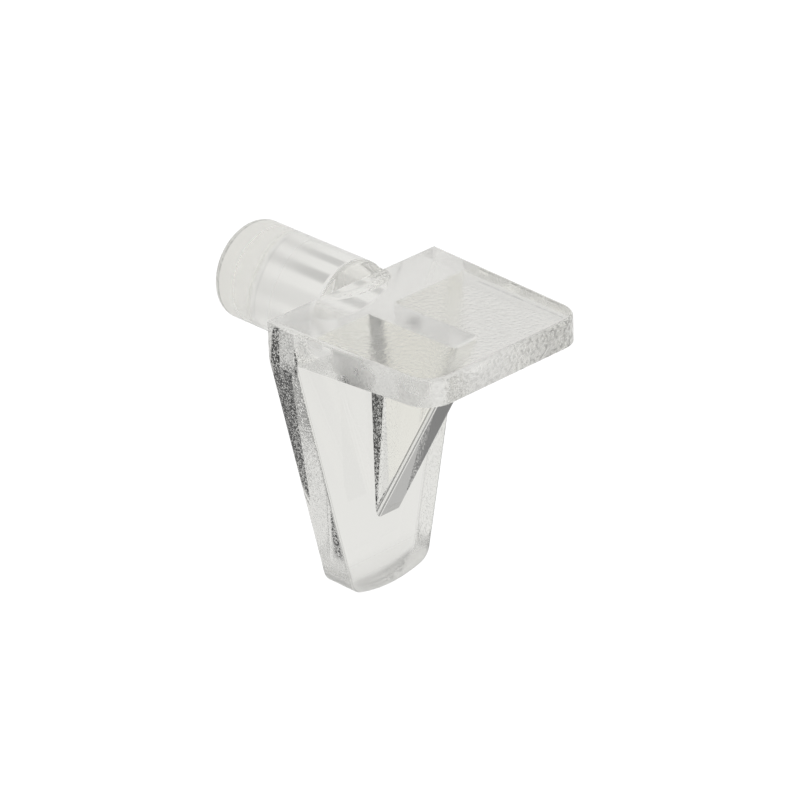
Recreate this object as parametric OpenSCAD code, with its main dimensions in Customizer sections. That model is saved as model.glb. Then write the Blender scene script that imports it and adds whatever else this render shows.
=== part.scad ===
// Clear plastic shelf support, one injection-moulded piece: a round peg that pushes into the side
// of a cabinet, a flat shelf plate, a leg that tapers down the wall and a rib that joins the two.
//
// Frame: the origin is where the peg's axis meets the wall. +X leaves the wall, +Z is up, and the
// part is symmetric about Y = 0. The mould opens along X, so the walls that run out along X have
// draft: they come closer together towards the front.

/* [Peg] */
// Diameter of the peg, a push fit in a standard shelf hole
peg_d = 5; // [4:0.1:7]
// Length of the peg behind the wall
peg_l = 7; // [5:0.5:12]
// Depth of the peg's axis under the face that the shelf rests on
peg_drop = 1.5; // [1:0.1:1.9]
// Radius round the free end
peg_tip_r = 0.25; // [0.1:0.05:0.8]
// Radius round the half-moon that stands above the shelf plate
peg_crown_r = 0.2; // [0.1:0.05:0.4]

/* [Shelf plate] */
// Length of the plate, from the wall to its front edge
plate_l = 10.4; // [8:0.1:16]
// Width of the plate at the wall
plate_w = 11; // [9:0.1:18]
// Width of the plate at its front edge, before the corners are rounded
plate_front_w = 10.1; // [7:0.1:16]
// Thickness of the plate at the wall
plate_t = 1.85; // [1.5:0.05:3]
// Thickness of the plate at its front edge
plate_front_t = 1.4; // [1:0.1:2.5]
// Radius of the two front corners
plate_corner_r = 1.4; // [0.6:0.1:3]
// Radius along the top edges of the plate
plate_edge_r = 0.2; // [0.1:0.05:0.4]

/* [Leg] */
// Height of the part, from the shelf face to the lower end of the leg
leg_h = 15.5; // [12:0.5:24]
// Thickness of the leg
leg_t = 2; // [1.2:0.1:3]
// Width at the lower end, where the sloping sides would reach it
leg_end_w = 4.85; // [3.4:0.05:7]
// Depth under the plate at which the sides bend inwards
shoulder_drop = 0.15; // [0.1:0.05:1]
// Radius of that bend
shoulder_r = 1.2; // [0.5:0.1:8]
// Radius of the two lower corners
leg_corner_r = 1; // [0.5:0.1:1.4]
// Slope in degrees at which the curve of the lower end meets those corners
leg_end_a = 15.5; // [8:0.5:25]
// Radius along the edges of the leg, front and back
leg_edge_r = 0.15; // [0.1:0.05:0.4]

/* [Rib] */
// Distance of the rib's front end from the wall
rib_l = 7.75; // [5:0.05:9]
// Depth of the rib's lower end under the shelf face
rib_h = 11.6; // [7:0.05:13]
// Thickness of the rib at its lower end
rib_t = 1.75; // [1:0.05:3]
// Thickness of the rib at its front end
rib_front_t = 1.65; // [0.8:0.05:2.8]
// Radius along the two edges of the rib's sloping face
rib_edge_r = 0.3; // [0.1:0.05:0.4]

/* [Hidden] */
$fn = 96;
// How far a cutter or a rough block reaches past the surface it works on
over = 1;
// A rounding stands this much outside a true tangent, so that it ends in a clean line
slack = 0.0002;
// The leg is drawn this much wider than the plate, whose drafted sides then trim it
trim = 0.002;
// Clear plastic with a slight warm tint
clear_plastic = [0.87, 0.88, 0.85, 0.6];

// Heights, from the peg's axis
shelf_z = peg_drop;
leg_end_z = shelf_z - leg_h;
function underside_z(x) = shelf_z - plate_t + (plate_t - plate_front_t) * x / plate_l;
shoulder_z = underside_z(0) - shoulder_drop;

// Width of the leg at its shoulder, and the slope of its sides
leg_w = plate_w + 2 * trim;
leg_a = atan((leg_w - leg_end_w) / 2 / (shoulder_z - leg_end_z));

// The leg's end is one arc from corner to corner. It rises at leg_end_a where it comes to the arcs
// of the corners, which fixes its radius: of two straight lines at that slope, from a point under
// the middle, the two arcs' tangents leave only a short flat.
leg_end_flat = 0.05;
end_corner_tangent = leg_corner_r / tan(45 + (leg_a + leg_end_a) / 2) + leg_end_flat;
end_foreshortening = cos(leg_end_a) - sin(leg_end_a) * tan(leg_a);
leg_end_r = (leg_end_w / 2 - end_corner_tangent * end_foreshortening)
    / (tan(leg_end_a) * end_foreshortening + (1 / cos(leg_end_a) - 1) * tan(leg_a));
leg_end_point_z = leg_end_z - leg_end_r * (1 / cos(leg_end_a) - 1);
leg_end_corner_y = (leg_end_w / 2 - (leg_end_z - leg_end_point_z) * tan(leg_a))
    / (1 - tan(leg_end_a) * tan(leg_a));
leg_end_corner_z = leg_end_point_z + leg_end_corner_y * tan(leg_end_a);

// Outlines: corners in order, counterclockwise, each with its radius: [x, y, radius]
plate_outline = [
    [0, -plate_w / 2, 0],
    [plate_l, -plate_front_w / 2, plate_corner_r],
    [plate_l, plate_front_w / 2, plate_corner_r],
    [0, plate_w / 2, 0]
];
leg_outline = [
    [leg_w / 2, shelf_z, 0],
    [-leg_w / 2, shelf_z, 0],
    [-leg_w / 2, shoulder_z, shoulder_r],
    [-leg_end_corner_y, leg_end_corner_z, leg_corner_r],
    [0, leg_end_point_z, leg_end_r],
    [leg_end_corner_y, leg_end_corner_z, leg_corner_r],
    [leg_w / 2, shoulder_z, shoulder_r]
];

// Slope of the rib's face, and its outline in that face, which runs on into the leg and the plate
rib_foot_z = shelf_z - rib_h;
rib_rise = underside_z(rib_l) - rib_foot_z;
rib_a = atan2(rib_rise, rib_l - leg_t);
rib_slope_l = norm([rib_l - leg_t, rib_rise]);
rib_outline = [
    [-leg_t, -rib_t / 2, 0],
    [rib_slope_l + leg_t, -rib_front_t / 2, 0],
    [rib_slope_l + leg_t, rib_front_t / 2, 0],
    [-leg_t, rib_t / 2, 0]
];

function unit(v) = v / norm(v);
function corner(outline, i) =
    let (c = outline[(i + len(outline)) % len(outline)]) [c.x, c.y];
function heading(outline, i) =
    let (d = corner(outline, i + 1) - corner(outline, i)) atan2(d.y, d.x);
// Half of the angle inside corner i
function half_angle(outline, i) =
    let (to_last = unit(corner(outline, i - 1) - corner(outline, i)))
    let (to_next = unit(corner(outline, i + 1) - corner(outline, i)))
    acos(to_last * to_next) / 2;
// Distance from corner i to the ends of its arc, and the arc's centre
function tangent(outline, i) = outline[i % len(outline)].z / tan(half_angle(outline, i));
function arc_centre(outline, i) =
    let (to_last = unit(corner(outline, i - 1) - corner(outline, i)))
    let (to_next = unit(corner(outline, i + 1) - corner(outline, i)))
    corner(outline, i) + unit(to_last + to_next) * outline[i].z / sin(half_angle(outline, i));

// A flat shape from an outline, with every corner taken off to its arc
module rounded_shape(outline) {
    difference() {
        polygon([for (i = [0 : len(outline) - 1]) corner(outline, i)]);
        for (i = [0 : len(outline) - 1])
            if (outline[i].z > 0) corner_waste(outline, i);
    }
}

module corner_waste(outline, i) {
    tip = corner(outline, i);
    to_last = unit(corner(outline, i - 1) - tip);
    to_next = unit(corner(outline, i + 1) - tip);
    reach = tangent(outline, i);
    difference() {
        polygon([tip + to_last * reach, tip - unit(to_last + to_next) * over, tip + to_next * reach]);
        translate(arc_centre(outline, i)) circle(outline[i].z + slack);
    }
}

// Rounds an edge of an extruded outline, from the corner and side numbered first to those numbered
// last. The edge lies at height z, at the top of the body or, with top false, at its bottom.
module round_edge(outline, first, last, r, z, top = true) {
    if (last < first) children();
    else
        difference() {
            difference() {
                round_edge(outline, first, last - 1, r, z, top) children();
                if (outline[last].z > 0) at_edge(z, top) corner_edge_waste(outline, last, r);
            }
            at_edge(z, top) side_edge_waste(outline, last, r);
        }
}

module at_edge(z, top) {
    translate([0, 0, z]) mirror([0, 0, top ? 0 : 1]) children();
}

// What rounding cuts away along side i. It runs on past both ends of the side, far enough to cross
// the rounding of the corners, which stands a little prouder.
module side_edge_waste(outline, i, r) {
    a = heading(outline, i);
    run_on = 2 * r;
    start = corner(outline, i) + [cos(a), sin(a)] * (tangent(outline, i) - run_on);
    end = corner(outline, i + 1) - [cos(a), sin(a)] * (tangent(outline, i + 1) - run_on);
    translate([end.x, end.y, 0])
        rotate([90, 0, a - 90])
            linear_extrude(norm(end - start)) edge_section(r, 2 * slack);
}

// What rounding cuts away round corner i
module corner_edge_waste(outline, i, r) {
    turn = 180 - 2 * half_angle(outline, i);
    centre = arc_centre(outline, i);
    translate([centre.x, centre.y, 0])
        rotate([0, 0, heading(outline, i - 1) - 90])
            rotate_extrude(angle = turn) translate([outline[i].z, 0]) edge_section(r, 4 * slack);
}

// Section of what rounding cuts away: the sharp edge is at the origin, with the body towards -x
// and -y. The rounded surface stands proud of a true tangent by the slack given.
module edge_section(r, proud = 0) {
    difference() {
        translate([-r, -r]) square(r + over);
        translate([-r, -r]) circle(r + proud);
    }
}

// Turns a shape drawn in Y and Z, and extruded upwards, so that it extrudes along +X
module along_x() {
    rotate([90, 0, 90]) children();
}
// Turns a shape drawn in X and Z so that its extrusion is centred on Y = 0
module across_y(width) {
    rotate([90, 0, 0]) translate([0, 0, -width / 2]) linear_extrude(width) children();
}

// Round peg. Its free end is rounded, and its other end is flush with the wall and stands above the
// shelf plate as a half-moon, which stops the shelf short of the wall.
module peg() {
    along_x() difference() {
        translate([0, 0, -peg_l]) cylinder(h = peg_l, d = peg_d);
        translate([0, 0, -peg_l]) mirror([0, 0, 1]) rim_waste(peg_tip_r);
        intersection() {
            rim_waste(peg_crown_r);
            translate([-peg_d, shelf_z, -peg_d]) cube(2 * peg_d);
        }
    }
}

module rim_waste(r) {
    rotate_extrude() translate([peg_d / 2, 0]) edge_section(r);
}

// Flat shelf plate: its top is level and its underside rises towards the front. It starts inside
// the leg.
module plate() {
    across_y(plate_w + 2 * over)
        polygon([
            [leg_t / 2, underside_z(leg_t / 2)],
            [plate_l + over, underside_z(plate_l + over)],
            [plate_l + over, shelf_z],
            [leg_t / 2, shelf_z]
        ]);
}

// Leg: the full width of the plate at the top, tapering to a curved lower end. All its edges are
// rounded but the front one at the top, which the plate covers.
module leg() {
    last = len(leg_outline) - 1;
    along_x()
        round_edge(leg_outline, 0, last, leg_edge_r, 0, top = false)
            round_edge(leg_outline, 1, last, leg_edge_r, leg_t)
                linear_extrude(leg_t) rounded_shape(leg_outline);
}

// Triangular rib under the middle of the plate, with a flat sloping face. It ends inside the leg
// and the plate.
module rib() {
    intersection() {
        on_rib_slope()
            round_edge(rib_outline, 0, 0, rib_edge_r, 0, top = false)
                round_edge(rib_outline, 2, 2, rib_edge_r, 0, top = false)
                    linear_extrude(rib_h) rounded_shape(rib_outline);
        translate([leg_t / 2, -rib_t, leg_end_z])
            cube([plate_l, 2 * rib_t, leg_h - plate_front_t / 2]);
    }
}

// Places a shape on the rib's sloping face: x runs up the slope from its lower end, and z runs into
// the rib.
module on_rib_slope() {
    translate([leg_t, 0, rib_foot_z]) rotate([0, -rib_a, 0]) children();
}

// The whole moulding. The plate's outline trims the plate and the top of the leg together.
module shelf_support() {
    color(clear_plastic) {
        peg();
        round_edge(plate_outline, 0, 2, plate_edge_r, shelf_z)
            intersection() {
                union() {
                    plate();
                    leg();
                    rib();
                }
                translate([0, 0, leg_end_z - over])
                    linear_extrude(leg_h + 2 * over) rounded_shape(plate_outline);
            }
    }
}

shelf_support();
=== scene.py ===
from math import cos, radians, sin
import bpy
from mathutils import Matrix, Vector

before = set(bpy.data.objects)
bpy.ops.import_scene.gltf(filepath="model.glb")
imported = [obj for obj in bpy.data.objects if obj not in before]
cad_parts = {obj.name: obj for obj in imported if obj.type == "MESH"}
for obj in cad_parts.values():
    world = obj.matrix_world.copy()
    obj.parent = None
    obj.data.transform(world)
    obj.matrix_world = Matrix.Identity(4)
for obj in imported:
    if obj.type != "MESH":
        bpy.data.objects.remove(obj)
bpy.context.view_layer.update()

MM = 0.001
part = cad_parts["shelf_support"]


# ---------------------------------------------------------------- shader nodes

class Graph:
    """Adds nodes to a tree. An input given as a socket is linked, and any other value is set."""

    def __init__(self, tree):
        self.tree = tree
        tree.nodes.clear()

    def node(self, kind, inputs=None, **settings):
        n = self.tree.nodes.new(kind)
        for k, v in settings.items():
            setattr(n, k, v)
        for k, v in (inputs or {}).items():
            if isinstance(v, bpy.types.NodeSocket):
                self.tree.links.new(v, n.inputs[k])
            else:
                n.inputs[k].default_value = v
        return n

    def math(self, op, a, b=0.0, c=0.0):
        return self.node("ShaderNodeMath", {0: a, 1: b, 2: c}, operation=op).outputs[0]

    def times(self, first, *others):
        for value in others:
            first = self.math("MULTIPLY", first, value)
        return first

    def most(self, first, *others):
        for value in others:
            first = self.math("MAXIMUM", first, value)
        return first

    def above(self, value, limit):
        return self.math("GREATER_THAN", value, limit)

    def below(self, value, limit):
        return self.math("LESS_THAN", value, limit)

    def off(self, value, centre):
        """How far the value is from the centre."""
        return self.math("ABSOLUTE", self.math("SUBTRACT", value, centre))

    def fade(self, value, ends, before=0.0, after=1.0):
        """Goes smoothly from one level to the other between the two ends."""
        inputs = {0: value, 1: ends[0], 2: ends[1], 3: before, 4: after}
        return self.node("ShaderNodeMapRange", inputs, interpolation_type="SMOOTHSTEP").outputs[0]

    def dot(self, a, b):
        return self.node("ShaderNodeVectorMath", {0: a, 1: b}, operation="DOT_PRODUCT").outputs["Value"]

    def noise(self, place, scale, roughness=0.5):
        inputs = {"Vector": place, "Scale": scale, "Detail": 1.0, "Roughness": roughness}
        return self.node("ShaderNodeTexNoise", inputs).outputs[0]


# ---------------------------------------------------------------- clear plastic
# Lengths are in mm, in the part's frame: X out of the wall, Y along it and Z up. "Width" is the distance
# from Y = 0. LIMITS says where a zone starts or stops, and ENDS where a fade begins and ends. A noise
# scale is per mm, and a pair of noise values is the range that a fade spans.

IOR = 1.41              # puts the dark bands where the photo has them; common clear plastics have more
# CLEAR is the plastic's own faint tint, and DARK the colour of the painted shade.
CLEAR = (0.985, 0.98, 0.945, 1)
DARK = (0.04, 0.04, 0.038, 1)
TURNED = 0.7            # a face is a side, and not a rounded edge, where its normal is this far along Y
LEVEL = 0.9             # a face is level where its normal is this far along Z
FACING_OUT = 0.5        # a face is the front edge where its normal is this far along X

LIMITS = {
    "plate and leg": 0.001,     # x from here on; the peg is behind it
    "peg": -0.01,               # x up to here
    "peg end": -6.9,            # x up to here
    "peg end edge": -6.78,      # x up to here
    "rib": 1.5,                 # width up to here; the plate and the leg are wider
    "plate flank": 2.0,         # x from here on
    "front edge": 9,            # x from here on
    "underside": 0.6,           # z up to here
    # The painted shade lines along the rounded edges stop at this x.
    "painted edge lines": 8.8,       # x up to here
}

ENDS = {
    "leg's grain": (2.4, 3.2),              # x
    "near flank's grain": (4.0, 6.0),       # x
    "even pits": (2.0, 5.0),                # height above or below MID_LEG
    "rib to plate": (1.0, 1.6),             # width
    "far side": (1.0, 1.6),                 # y
    "front edge": (-5.0, 5.0),              # y
    "underside's margin": (4.2, 4.8),       # width
    "underside's front": (9.1, 9.7),        # x
    "peg's haze": (-6.5, -2.5),             # x
    "foot's haze": (-13.0, -12.2),          # z
    "foot's rounding": (-12.6, -11.8),      # z
    "mark's width": (1.2, 1.9),             # width
    "mark's depth": (0.1, 0.4),             # distance from its arc
    "upper specks": (-10.5, -6.5),          # z
    "dense specks' foot": (-6.5, -3.0),     # z
    "dense specks' head": (-0.5, -0.2),     # z
    "dense specks' back": (0.7, 1.2),       # x
    "peg end edge": (2.25, 2.45),           # distance from the peg's axis
    "peg end's upper half": (-0.8, 1.2),    # z
    "ring": (0.03, 0.1),                    # distance from RING_X
    "ring's near side": (-2.0, 1.0),        # z - y
    # The painted shade line along the plate's +Y side:
    "side_line": (0.03, 0.06),                   # distance from its line
}

# Roughness
POLISHED = 0.02
SATIN_TOP = 0.18
MATT_END = 1.0
PEG_HAZE = 0.3, 0.06            # at its end, and by the plate
FOOT_HAZE = 0.3
CLOUDS = 0.9, (0.4, 0.55)       # noise scale, noise values
CLOUD_LEVELS = 0.08, 0.4
MARK_GLOSS = 0.9                # how much roughness the crumpled mark takes off

# Relief
PITS = 8.0, (0.55, 0.66), 0.014     # noise scale, noise values, depth
PITS_NOISE_ROUGHNESS = 0.6
MID_LEG, MID_LEG_PITS = -5.5, 0.45  # the height where pits are shallowest, and their share of the depth
RIB_PITS = 1.25                     # share of the depth on the rib
NEAR_FLANK_PITS = 0.35              # share of the depth on the plate's -Y side
WAVES = 5.0                         # noise scale
FRONT_WAVES, UNDER_WAVES = 0.045, 0.017
FRONT_SHARES = 0.6, 2.0             # share of waves and lines at the front edge's -Y and +Y ends
CRUMPLE = 2.6, 0.3                  # noise scale, height
MARK_X, MARK_BEND = 1.0, 0.15       # the crumpled mark's arc: x = MARK_X - MARK_BEND * y^2
FOOT_RADIUS, FOOT_SAMPLES = 0.6, 6  # the foot's edge is shaded as if it had this radius

# Tints of painted shade in the base colour: how dark each one is, from 0 to 1
# The specks are painted shade: dark dots over the grained sides.
SPECKS = 12.0, (0.54, 0.6), 0.5         # noise scale, noise values, tint
SPECKS_LOW = 0.35                       # share of that tint low on the leg
DENSE = 0.14                            # added to the noise, so that more of it counts as a speck
DENSE_TINT = 2.5                        # tint for each unit of DENSE
# The edge lines are painted shade: dark lines where the rounded edges bend the light.
EDGE_LINE = 0.85, 0.35                  # on the rib, and on the plate and the leg
EDGE_LINE_FAR = 0.4                     # share of that on the +Y side
EDGE_NORMAL = 0.64, 0.31                # middle and half of the range of normals that are a rounded edge
EDGE_MIDDLE = 0.7, (0.08, 0.16)         # the normals between the edge's two lines
NEAR_EDGE_Y, NEAR_EDGE_Z = -1, -0.4     # the plate's -Y edge, past both, has no line
# The front edge's lines and the line along the +Y side are painted shade.
FRONT_LINES = 0.3, (0.48, 0.64)         # tint, noise values
# The peg's edge line and ring are painted shade.
PEG_EDGE = (0.15, 0.5), (0.42, 0.58)    # tint in the lower and upper half, noise values
PEG_EDGE_WEAKEST = 0.5                  # share of that tint where the noise is low
RING, RING_X = 0.55, -6.69
RING_FAR = 0.5                          # share of the ring's tint on its far side
RING_WEAKEST, RING_VALUES = 0.6, (0.4, 0.6)
SIDE_LINE_Y, SIDE_LINE_SLOPE = 5.2, 0.043         # a line along the plate's +Y side: y = SIDE_LINE_Y - SIDE_LINE_SLOPE * x
SIDE_LINE_X = 6.3, 2.9                       # its middle and half of its length
SIDE_LINE_TINTS, SIDE_LINE_VALUES = (0.15, 0.6), (0.4, 0.5)


class Surface:
    """Position, and masks that are 1 on one kind of face and 0 on the others."""

    def __init__(self, g):
        place = g.node("ShaderNodeTexCoord").outputs["Object"]
        self.mm = g.node("ShaderNodeVectorMath", {0: place, 3: 1 / MM}, operation="SCALE").outputs[0]
        self.x, self.y, self.z = g.node("ShaderNodeSeparateXYZ", {0: self.mm}).outputs
        self.width = g.math("ABSOLUTE", self.y)
        normal = g.node("ShaderNodeNewGeometry").outputs["True Normal"]
        facing = g.node("ShaderNodeSeparateXYZ", {0: normal}).outputs
        along_x, self.along_y, along_z = [g.math("ABSOLUTE", o) for o in facing]

        self.off_peg = g.above(self.x, LIMITS["plate and leg"])
        self.wide = g.above(self.width, LIMITS["rib"])
        self.turned = g.above(self.along_y, TURNED)
        self.top = g.above(g.times(facing[2], self.off_peg), LEVEL)
        self.front = g.times(g.above(along_x, FACING_OUT), g.above(self.x, LIMITS["front edge"]),
                             g.fade(self.y, ENDS["front edge"], *FRONT_SHARES))
        self.under = g.times(g.above(along_z, LEVEL), g.below(self.z, LIMITS["underside"]),
                             g.fade(self.width, ENDS["underside's margin"], 1.0, 0.0),
                             g.fade(self.x, ENDS["underside's front"], 1.0, 0.0))
        self.grained = self.grained_sides(g)
        self.mark = self.crumpled_mark(g)
        self.waves = g.noise(self.mm, WAVES)

    def grained_sides(self, g):
        """The leg's sides and the plate's, but for the -Y side of the plate by the wall."""
        near = g.fade(self.x, ENDS["near flank's grain"], 0.0, NEAR_FLANK_PITS)
        flank = g.most(near, g.above(self.y, 0))
        reach = g.most(g.fade(self.x, ENDS["leg's grain"], 1.0, 0.0), g.times(flank, self.wide))
        return g.times(self.turned, self.off_peg, reach)

    def crumpled_mark(self, g):
        bend = g.math("MULTIPLY_ADD", g.times(self.y, self.y), MARK_BEND, self.x)
        return g.times(g.fade(g.off(bend, MARK_X), ENDS["mark's depth"], 1.0, 0.0),
                       g.fade(self.width, ENDS["mark's width"], 1.0, 0.0), self.top)


def roughness(g, s):
    """Polished, with a matt peg end, a satin shelf face, cloudy plate sides, and haze on peg and foot."""
    peg = g.times(g.below(s.x, LIMITS["peg"]), g.fade(s.x, ENDS["peg's haze"], *PEG_HAZE))
    flank = g.times(s.turned, s.wide, g.above(s.x, LIMITS["plate flank"]))
    scale, values = CLOUDS
    clouds = g.times(flank, g.fade(g.noise(s.mm, scale), values, *CLOUD_LEVELS))
    rough = g.most(g.times(g.below(s.x, LIMITS["peg end"]), MATT_END), g.times(s.top, SATIN_TOP), peg,
                   clouds, g.fade(s.z, ENDS["foot's haze"], FOOT_HAZE, 0.0))
    mark = g.math("SUBTRACT", 1.0, g.times(s.mark, MARK_GLOSS))
    return g.most(g.times(rough, mark), POLISHED)


def relief(g, s):
    """Pitted sides, a wavy front edge and underside, and the crumpled mark. Returns the normal."""
    scale, values, depth = PITS
    fine = g.noise(s.mm, scale, PITS_NOISE_ROUGHNESS)
    uneven = g.times(g.fade(g.off(s.z, MID_LEG), ENDS["even pits"], MID_LEG_PITS, 1.0),
                     g.fade(s.width, ENDS["rib to plate"], RIB_PITS, 1.0))
    height = g.times(g.fade(fine, values), s.grained, uneven, depth)
    depth = g.math("ADD", g.times(s.front, FRONT_WAVES), g.times(s.under, UNDER_WAVES))
    height = g.math("MULTIPLY_ADD", s.waves, depth, height)
    scale, depth = CRUMPLE
    height = g.math("MULTIPLY_ADD", g.noise(s.mm, scale), g.times(s.mark, depth), height)

    radius = g.fade(s.z, ENDS["foot's rounding"], FOOT_RADIUS * MM, 0.0)
    foot = g.node("ShaderNodeBevel", {"Radius": radius}, samples=FOOT_SAMPLES).outputs[0]
    bump = {"Height": height, "Strength": 1.0, "Distance": MM, "Normal": foot}
    return g.node("ShaderNodeBump", bump).outputs[0]


def painted_edge_lines(g, s):
    """Painted shade: two thin dark lines along each rounded edge, but for the plate's -Y edge."""
    middle, reach = EDGE_MIDDLE
    line = g.times(g.fade(g.off(s.along_y, middle), reach),
                   g.math("COMPARE", s.along_y, *EDGE_NORMAL),
                   s.off_peg, g.below(s.x, LIMITS["painted edge lines"]))
    near = g.times(g.below(s.y, NEAR_EDGE_Y), g.above(s.z, NEAR_EDGE_Z))
    return g.times(line, g.math("SUBTRACT", 1.0, near), g.fade(s.width, ENDS["rib to plate"], *EDGE_LINE),
                   g.fade(s.y, ENDS["far side"], 1.0, EDGE_LINE_FAR))


def specks(g, s):
    """Painted shade: dark specks over the grain, dense on the front half of the leg's sides near the
    plate.
    """
    scale, values, tint = SPECKS
    dense = g.times(g.fade(s.z, ENDS["dense specks' foot"]),
                    g.fade(s.z, ENDS["dense specks' head"], 1.0, 0.0),
                    g.fade(s.x, ENDS["dense specks' back"], 0.0, DENSE))
    dots = g.fade(g.math("ADD", g.noise(s.mm, scale), dense), values)
    level = g.fade(s.z, ENDS["upper specks"], tint * SPECKS_LOW, tint)
    return g.times(dots, s.grained, s.wide, g.math("MULTIPLY_ADD", dense, DENSE_TINT, level))


def peg_lines(g, s):
    """Painted shade: a broken dark line on the rounded edge of the peg's end, and a dark ring where that
    edge begins.
    """
    levels, values = PEG_EDGE
    radius = g.math("SQRT", g.math("MULTIPLY_ADD", s.y, s.y, g.times(s.z, s.z)))
    edge = g.times(g.fade(radius, ENDS["peg end edge"]), g.below(s.x, LIMITS["peg end edge"]),
                   g.fade(s.z, ENDS["peg end's upper half"], *levels),
                   g.fade(s.waves, values, PEG_EDGE_WEAKEST, 1.0))
    ring = g.times(g.fade(g.off(s.x, RING_X), ENDS["ring"], RING, 0.0),
                   g.fade(g.math("SUBTRACT", s.z, s.y), ENDS["ring's near side"], RING_FAR, 1.0),
                   g.fade(s.waves, RING_VALUES, RING_WEAKEST, 1.0))
    return g.most(edge, ring)


def plate_lines(g, s):
    """Painted shade: fine dark lines in the front edge, and a broken dark line along the shelf face's +Y
    side.
    """
    tint, values = FRONT_LINES
    front = g.times(g.fade(s.waves, values), s.front, tint)
    side_line = g.off(g.math("MULTIPLY_ADD", s.x, SIDE_LINE_SLOPE, s.y), SIDE_LINE_Y)
    side_line = g.times(g.fade(side_line, ENDS["side_line"], 1.0, 0.0), s.top, g.math("COMPARE", s.x, *SIDE_LINE_X),
                   g.fade(s.waves, SIDE_LINE_VALUES, *SIDE_LINE_TINTS))
    return g.most(front, side_line)


def clear_plastic():
    m = bpy.data.materials.new("clear plastic")
    m.use_nodes = True
    g = Graph(m.node_tree)
    s = Surface(g)
    # Painted shade: the dark lines and specks are tinted into the base colour.
    shade = g.most(painted_edge_lines(g, s), specks(g, s), peg_lines(g, s), plate_lines(g, s))
    tint = g.node("ShaderNodeMix", {0: shade, 6: CLEAR, 7: DARK}, data_type="RGBA").outputs[2]
    bsdf = g.node("ShaderNodeBsdfPrincipled", {
        "Base Color": tint, "Roughness": roughness(g, s), "IOR": IOR, "Transmission Weight": 1.0,
        "Normal": relief(g, s)})
    g.node("ShaderNodeOutputMaterial", {"Surface": bsdf.outputs[0]})
    return m


for slot in part.material_slots:
    slot.material = clear_plastic()


# ---------------------------------------------------------------- camera
# At the angle of the photo. The roll is the photo's small tilt.

CAMERA_AZIMUTH, CAMERA_ELEVATION, CAMERA_ROLL = radians(46.782), radians(27.112), radians(-2.118)
CAMERA_DISTANCE = 0.25
AIM = Vector((2.155, 0.829, -4.322)) * MM
LENS, SENSOR_WIDTH = 237.13, 36
NEAREST, FARTHEST = 0.01, 100

back = Vector((sin(CAMERA_AZIMUTH) * cos(CAMERA_ELEVATION),
               -cos(CAMERA_AZIMUTH) * cos(CAMERA_ELEVATION), sin(CAMERA_ELEVATION)))
right = Vector((cos(CAMERA_AZIMUTH), sin(CAMERA_AZIMUTH), 0))
up = back.cross(right)
rolled_right = right * cos(CAMERA_ROLL) + up * sin(CAMERA_ROLL)
rolled_up = -right * sin(CAMERA_ROLL) + up * cos(CAMERA_ROLL)
turn = Matrix((rolled_right, rolled_up, back)).transposed()

camera = bpy.data.objects.new("camera", bpy.data.cameras.new("camera"))
bpy.context.collection.objects.link(camera)
camera.data.sensor_width = SENSOR_WIDTH
camera.data.lens = LENS
camera.data.clip_start = NEAREST
camera.data.clip_end = FARTHEST
camera.matrix_world = Matrix.Translation(AIM + back * CAMERA_DISTANCE) @ turn.to_4x4()
bpy.context.scene.camera = camera


# ---------------------------------------------------------------- world
# A pale room, a little darker round the horizon, with six soft cards that take light away. The plastic
# shows them as its dark bands.

LOW_LEVEL, HIGH_LEVEL, LEVEL_ENDS = 0.805, 0.76, (0.0, 0.6)
HORIZON, HORIZON_LEVEL, HORIZON_ENDS = 0.03, 0.85, (0.06, 0.16)
CARDS = [  # azimuth, elevation from the part, half-width in degrees, soft edge, how much light it takes
    (45, -17, 7, 6, 0.97),
    (-147, -4, 8, 6, 0.88),
    (147, -7.5, 7, 6, 0.5),
    (135, -19, 3, 6, 0.12),
    (145, -37, 1.5, 4, 0.32),
    (166, -47, 2, 4, 0.3),
]


def heading(azimuth, elevation):
    a, e = radians(azimuth), radians(elevation)
    return Vector((cos(a) * cos(e), sin(a) * cos(e), sin(e)))


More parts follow.
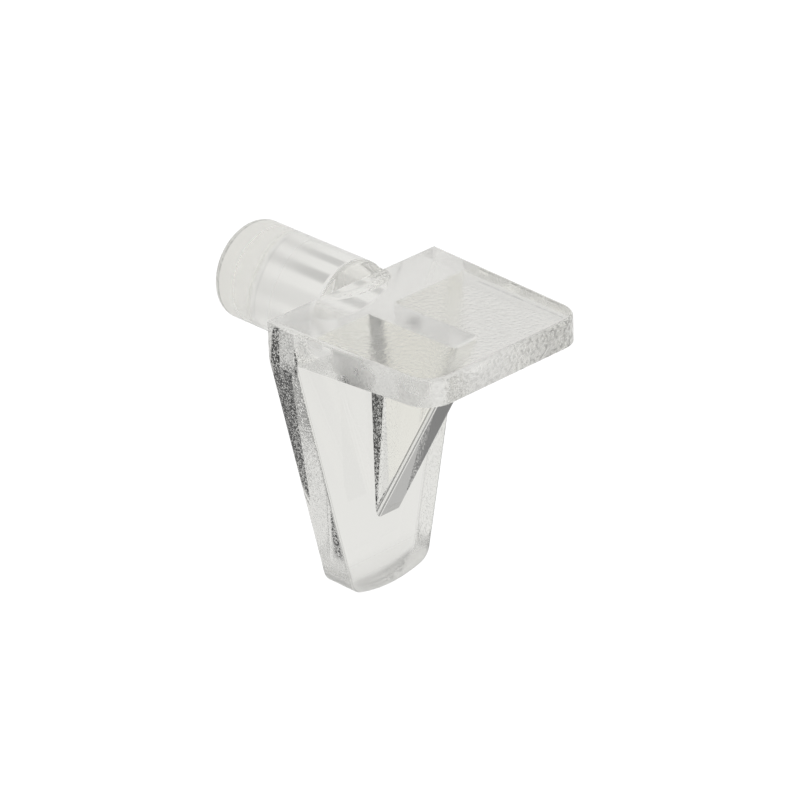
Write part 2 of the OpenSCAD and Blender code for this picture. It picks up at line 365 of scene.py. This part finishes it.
world = bpy.data.worlds.new("studio")
bpy.context.scene.world = world
world.use_nodes = True
g = Graph(world.node_tree)
ray = g.node("ShaderNodeTexCoord").outputs["Generated"]
height = g.node("ShaderNodeSeparateXYZ", {0: ray}).outputs[2]
level = g.times(g.fade(height, LEVEL_ENDS, LOW_LEVEL, HIGH_LEVEL),
                g.fade(g.off(height, HORIZON), HORIZON_ENDS, HORIZON_LEVEL, 1.0))
for azimuth, elevation, half_width, soft_edge, taken in CARDS:
    closeness = g.dot(ray, heading(azimuth, elevation))
    card = cos(radians(half_width + soft_edge)), cos(radians(half_width))
    level = g.times(level, g.fade(closeness, card, 1.0, 1.0 - taken))
sky = g.node("ShaderNodeBackground", {"Color": level, "Strength": 1.0})
g.node("ShaderNodeOutputWorld", {"Surface": sky.outputs[0]})


# ---------------------------------------------------------------- floor and sun
# Neither is seen by reflected or refracted rays, so they make no bright bars in the plastic.

FLOOR_SIZE, FLOOR_Z = 40, -60 * MM
FLOOR_COLOUR = (0.95, 0.95, 0.95, 1)
SUN_ENERGY, SUN_ANGLE = 1.2, radians(60)

bpy.ops.mesh.primitive_plane_add(size=FLOOR_SIZE, location=(0, 0, FLOOR_Z))
floor = bpy.context.object
floor.name = "floor"
matt = bpy.data.materials.new("floor")
matt.use_nodes = True
matt.node_tree.nodes["Principled BSDF"].inputs["Base Color"].default_value = FLOOR_COLOUR
matt.node_tree.nodes["Principled BSDF"].inputs["Roughness"].default_value = 1
floor.data.materials.append(matt)
sun = bpy.data.objects.new("sun", bpy.data.lights.new("sun", "SUN"))
bpy.context.collection.objects.link(sun)
sun.data.energy = SUN_ENERGY
sun.data.angle = SUN_ANGLE
for hidden in (floor, sun):
    hidden.visible_transmission = False
    hidden.visible_glossy = False


# ---------------------------------------------------------------- picture
# With the default limits, long light paths in the plate are cut off and leave dark grey patches.

BOUNCES = 32

bpy.context.scene.view_settings.view_transform = "Standard"
paths = bpy.context.scene.cycles
paths.max_bounces = paths.glossy_bounces = paths.transmission_bounces = BOUNCES
